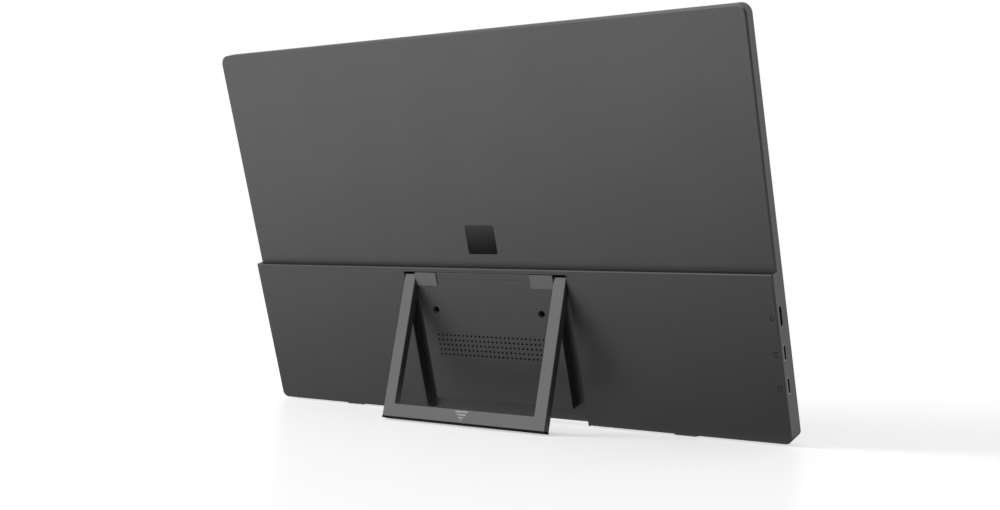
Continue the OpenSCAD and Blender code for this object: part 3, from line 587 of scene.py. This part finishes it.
FINISHES = {
    "front_bezel": bezel, "display_glass": screen, "light_guide": guide,
    "backlight_tray": drawn_metal, "rear_cover": housing, "stand_bay": housing,
    "badge_inlay": badge, "mount_inserts": dark_steel,
    "rubber_foot_left": rubber, "rubber_foot_right": rubber,
    "main_board": board_green, "port_board": board_green, "button_board": board_green,
    "timing_board": timing_green, "heat_spreader": fins,
    "board_cable": ribbon, "button_cable": ribbon, "display_cable": ribbon,
    "video_port": port_finish("video_port_shell", VIDEO_Z, 120),
    "upper_port": port_finish("upper_port_shell", UPPER_Z, 190),
    "lower_port": port_finish("lower_port_shell", LOWER_Z, 190),
    "headphone_jack": black_plastic, "board_screws": zinc, "hinge_screws": zinc,
    "speaker_left": speaker_case, "speaker_right": speaker_case,
    "power_switch": switch_case, "rocker_switches": switch_case,
    "hinge_bracket_left": steel, "hinge_bracket_right": steel,
    "hinge_cover_left": cover_paint_lit, "hinge_cover_right": cover_paint_lit,
    "stand_frame": stand_paint, "stand_foot_strip": dark_rubber,
    "hinge_shaft_left": steel, "hinge_shaft_right": steel,
    "friction_washers": steel, "shaft_nuts": zinc,
    "power_button": power_key, "menu_rocker": keys,
}


def finish_cad_nodes():
    """Gives every CAD node its material."""
    for name, node in nodes.items():
        node.data.materials.clear()
        node.data.materials.append(FINISHES[name])


finish_cad_nodes()


# New pieces

def new_piece(name, bm, matrix, body, finish):
    """bm, modelled in mm, becomes a piece in metres that rides on a body."""
    bmesh.ops.transform(bm, matrix=matrix, verts=bm.verts)
    bmesh.ops.recalc_face_normals(bm, faces=bm.faces)
    mesh = bpy.data.meshes.new(name)
    bm.to_mesh(mesh)
    bm.free()
    mesh.materials.append(finish)
    made = bpy.data.objects.new(name, mesh)
    scene.collection.objects.link(made)
    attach(made, body)


def raise_faces(bm, faces, way):
    """Flat printed faces get the thickness of their ink."""
    raised = bmesh.ops.extrude_face_region(bm, geom=faces)["geom"]
    lifted = [v for v in raised if isinstance(v, bmesh.types.BMVert)]
    bmesh.ops.translate(bm, vec=way, verts=lifted)


def pull_mark():
    """Four printed lines in a triangle that points down the bar, to show where to pull."""
    bm = bmesh.new()
    first_z, pitch, half_line, slant, ink_t = -77.1, 1.62, 0.36, 0.55, 0.03
    for i, half in enumerate((4.65, 3.3, 1.95, 0.6)):
        top = first_z - i * pitch + half_line
        low = first_z - i * pitch - half_line
        corners = [(-half, top), (half, top), (half - slant, low), (-half + slant, low)]
        verts = [bm.verts.new((x, STAND_T / 2, z)) for x, z in corners]
        raise_faces(bm, [bm.faces.new(verts)], (0, ink_t, 0))
    new_piece("pull_mark", bm, STAND, "stand", ink)


# Takes a shape drawn in x and y, with its thickness in z, to x and z of the panel's back
LAID_ON_BACK = Matrix(((1, 0, 0, 0), (0, 0, 1, 0), (0, 1, 0, 0), (0, 0, 0, 1)))


def socket_sign(name, x, z, wide, high, rounding):
    """A small printed outline of the socket's own shape beside it on the back."""
    bm = bmesh.new()
    line, ink_t = 0.3, 0.02
    corners = bmesh.ops.create_grid(bm, x_segments=1, y_segments=1, size=0.5)["verts"]
    bmesh.ops.scale(bm, vec=(wide, high, 1), verts=corners)
    bmesh.ops.bevel(bm, geom=corners, offset=rounding, affect="VERTICES", segments=5,
                    profile=0.5, material=-1)
    ring = bmesh.ops.inset_region(bm, faces=bm.faces[:], thickness=line, use_boundary=True,
                                  use_even_offset=True)["faces"]
    bmesh.ops.delete(bm, geom=[f for f in bm.faces if f not in ring], context="FACES")
    raise_faces(bm, bm.faces[:], (0, 0, ink_t))
    placed = PANEL @ Matrix.Translation((x, 0, z)) @ LAID_ON_BACK
    new_piece(name, bm, placed, "monitor", dark_ink)


def port_contacts(name, z, count, pitch):
    """Gold contacts lying on both faces of a socket's tongue."""
    bm = bmesh.new()
    middle_x = -BODY_W / 2 + 3.8
    size = Vector((3.6, 0.05, pitch * 0.5))
    for side in (-1, 1):
        for i in range(count):
            at = z + (i - (count - 1) / 2) * pitch
            made = bmesh.ops.create_cube(bm, size=1.0)["verts"]
            bmesh.ops.scale(bm, vec=size, verts=made)
            bmesh.ops.translate(bm, vec=(middle_x, PORT_Y + side * 0.36, at), verts=made)
            edges = list({e for v in made for e in v.link_edges})
            bmesh.ops.bevel(bm, geom=edges, offset=0.015, affect="EDGES", segments=1,
                            profile=0.5, material=-1)
    new_piece(name, bm, PANEL, "monitor", gold)


def rocker_marks():
    """An arrowhead at each end of the rocker."""
    bm = bmesh.new()
    face, half, tall, sunk = BODY_W / 2 + 0.1, 0.75, 1.0, 0.02
    for way in (-1, 1):
        tip = ROCKER_Z + way * 6.1
        foot = tip - way * tall
        corners = [(PORT_Y, tip), (PORT_Y - half, foot), (PORT_Y + half, foot)]
        verts = [bm.verts.new((face - sunk, y, z)) for y, z in corners]
        raise_faces(bm, [bm.faces.new(verts)], (2 * sunk, 0, 0))
    new_piece("rocker_arrows", bm, PANEL, "menu_key", ink)


pull_mark()
socket_sign("video_sign", -177.1, VIDEO_Z + 0.2, 1.7, 2.6, 0.55)
socket_sign("upper_sign", -177.0, UPPER_Z + 0.1, 2.0, 3.0, 0.3)
socket_sign("lower_sign", -177.1, LOWER_Z, 2.0, 3.0, 0.3)
port_contacts("video_contacts", VIDEO_Z, 9, 0.8)
port_contacts("upper_contacts", UPPER_Z, 12, 0.5)
port_contacts("lower_contacts", LOWER_Z, 12, 0.5)
rocker_marks()


# Studio

WHITE = (1, 1, 1, 1)
AIM = Vector((0, 0, 0.1))
CARD_AT = Vector((-1.5, 1.35, 0.5))
DIM_SIDE = (-0.59, -0.81, 0.0)


def add_stage_plane(name, size, matrix, material):
    """A flat piece of the studio, which isn't part of the object."""
    bm = bmesh.new()
    bmesh.ops.create_grid(bm, x_segments=1, y_segments=1, size=0.5)
    bmesh.ops.scale(bm, vec=(size[0], size[1], 1), verts=bm.verts)
    bmesh.ops.transform(bm, matrix=matrix, verts=bm.verts)
    mesh = bpy.data.meshes.new(name)
    bm.to_mesh(mesh)
    bm.free()
    mesh.materials.append(material)
    made = bpy.data.objects.new(name, mesh)
    scene.collection.objects.link(made)
    return made


def table_shade_in_reflections(tree, place):
    """How bright the table is in reflections.

    It is white in front of the monitor. Behind it, it falls off to a darker grey near the back
    and towards the unlit side of the studio: painted shade of the table under the leaning monitor, which
    only reflections show.
    """
    across = add(tree, "SeparateXYZ", {0: place}).outputs
    sideways = maths(tree, "MULTIPLY_ADD", across["X"], 0.62, 0.32)
    # Painted shade: darker near the monitor's back and towards one side.
    behind = maths(tree, "MULTIPLY_ADD", across["Y"], 0.9, sideways)
    before = remap(tree, across["Y"], 0.0, -0.06, 0.0, 0.95)
    beside = remap(tree, across["X"], -0.18, -0.22, 0.0, 0.3)
    clear = maths(tree, "MAXIMUM", before, beside)
    return maths(tree, "MAXIMUM", remap(tree, behind, 0.2, 1.0, 0.2, 1.0), clear)


def floor_material():
    """A white table top with a faint gloss, which fades into the white background."""
    material, tree, shader = new_finish("table_white", Roughness=0.3, Specular_IOR_Level=0.1)
    shader.inputs["Base Color"].default_value = grey(248)
    place = surface_point(tree)
    path = add(tree, "LightPath").outputs
    far = add(tree, "VectorMath", {0: place}, operation="LENGTH").outputs["Value"]
    faded = remap(tree, far, 0.3, 1.5, 0.52, 1.0)
    lit = maths(tree, "MULTIPLY", faded, path["Is Camera Ray"])
    white = add(tree, "Emission", {"Color": WHITE, "Strength": 1.0}).outputs[0]
    seen = add(tree, "MixShader", {0: lit, 1: shader.outputs[0], 2: white}).outputs[0]
    # In reflections the table shows painted shade near the monitor.
    level = table_shade_in_reflections(tree, place)
    mirrored = add(tree, "Emission", {"Color": WHITE, "Strength": level}).outputs[0]
    mixed = add(tree, "MixShader", {0: path["Is Glossy Ray"], 1: seen, 2: mirrored}).outputs[0]
    tree.links.new(mixed, tree.nodes["Material Output"].inputs["Surface"])
    return material


def make_dark_card():
    """The unlit part of the studio behind the camera, which only reflections show."""
    material, _, shader = new_finish("studio_dark", Roughness=1.0, Specular_IOR_Level=0.0)
    shader.inputs["Base Color"].default_value = grey(20)
    inwards = Vector((-CARD_AT.x, -CARD_AT.y, 0)).to_track_quat("-Z", "Y").to_matrix().to_4x4()
    matrix = Matrix.Translation(CARD_AT) @ inwards
    card = add_stage_plane("dark_card", (2.4, 1.6), matrix, material)
    card.visible_camera = False
    card.visible_shadow = False
    card.visible_diffuse = False


def soft_light(name, at, size, power, mirrored):
    """A rectangular soft light at a point, turned to the monitor."""
    data = bpy.data.lights.new(name, "AREA")
    data.shape = "RECTANGLE"
    data.size, data.size_y = size
    data.energy = power
    made = bpy.data.objects.new(name, data)
    made.location = at
    made.rotation_mode = "QUATERNION"
    made.rotation_quaternion = (AIM - Vector(at)).to_track_quat("-Z", "Y")
    made.visible_glossy = mirrored
    scene.collection.objects.link(made)


def light_surroundings():
    """White all round, dimmer on one side in reflections, and half as bright as a lamp."""
    world = bpy.data.worlds.new("studio")
    scene.world = world
    world.use_nodes = True
    tree = world.node_tree
    back = tree.nodes["Background"]
    path = add(tree, "LightPath").outputs
    towards = add(tree, "TexCoord").outputs["Generated"]
    dimmed = remap(tree, along(tree, towards, DIM_SIDE), 0.5, 0.95, 1.0, 0.95)
    mirrored = maths(tree, "MULTIPLY", path["Is Glossy Ray"], dimmed)
    seen = maths(tree, "MAXIMUM", path["Is Camera Ray"], path["Is Transmission Ray"])
    clear = maths(tree, "MAXIMUM", seen, mirrored)
    lighting = maths(tree, "SUBTRACT", 1.0, path["Is Glossy Ray"])
    lamp = maths(tree, "MULTIPLY", lighting, 0.55)
    tree.links.new(maths(tree, "MAXIMUM", clear, lamp), back.inputs["Strength"])
    back.inputs["Color"].default_value = WHITE


def make_studio():
    """A white table in white surroundings, with soft lights. Only the overhead one is mirrored."""
    just_below = Matrix.Translation((0, 0, -0.0003))
    add_stage_plane("table_top", (12, 12), just_below, floor_material())
    make_dark_card()
    soft_light("overhead", (0.2, 0.2, 1.6), (1.6, 1.2), 4.5, True)
    soft_light("left_side", (1.4, 0.8, 0.75), (0.7, 0.7), 40, False)
    soft_light("front_fill", (-0.4, -1.5, 0.9), (1.4, 1.0), 5, False)
    light_surroundings()


make_studio()
scene.view_settings.view_transform = "Standard"
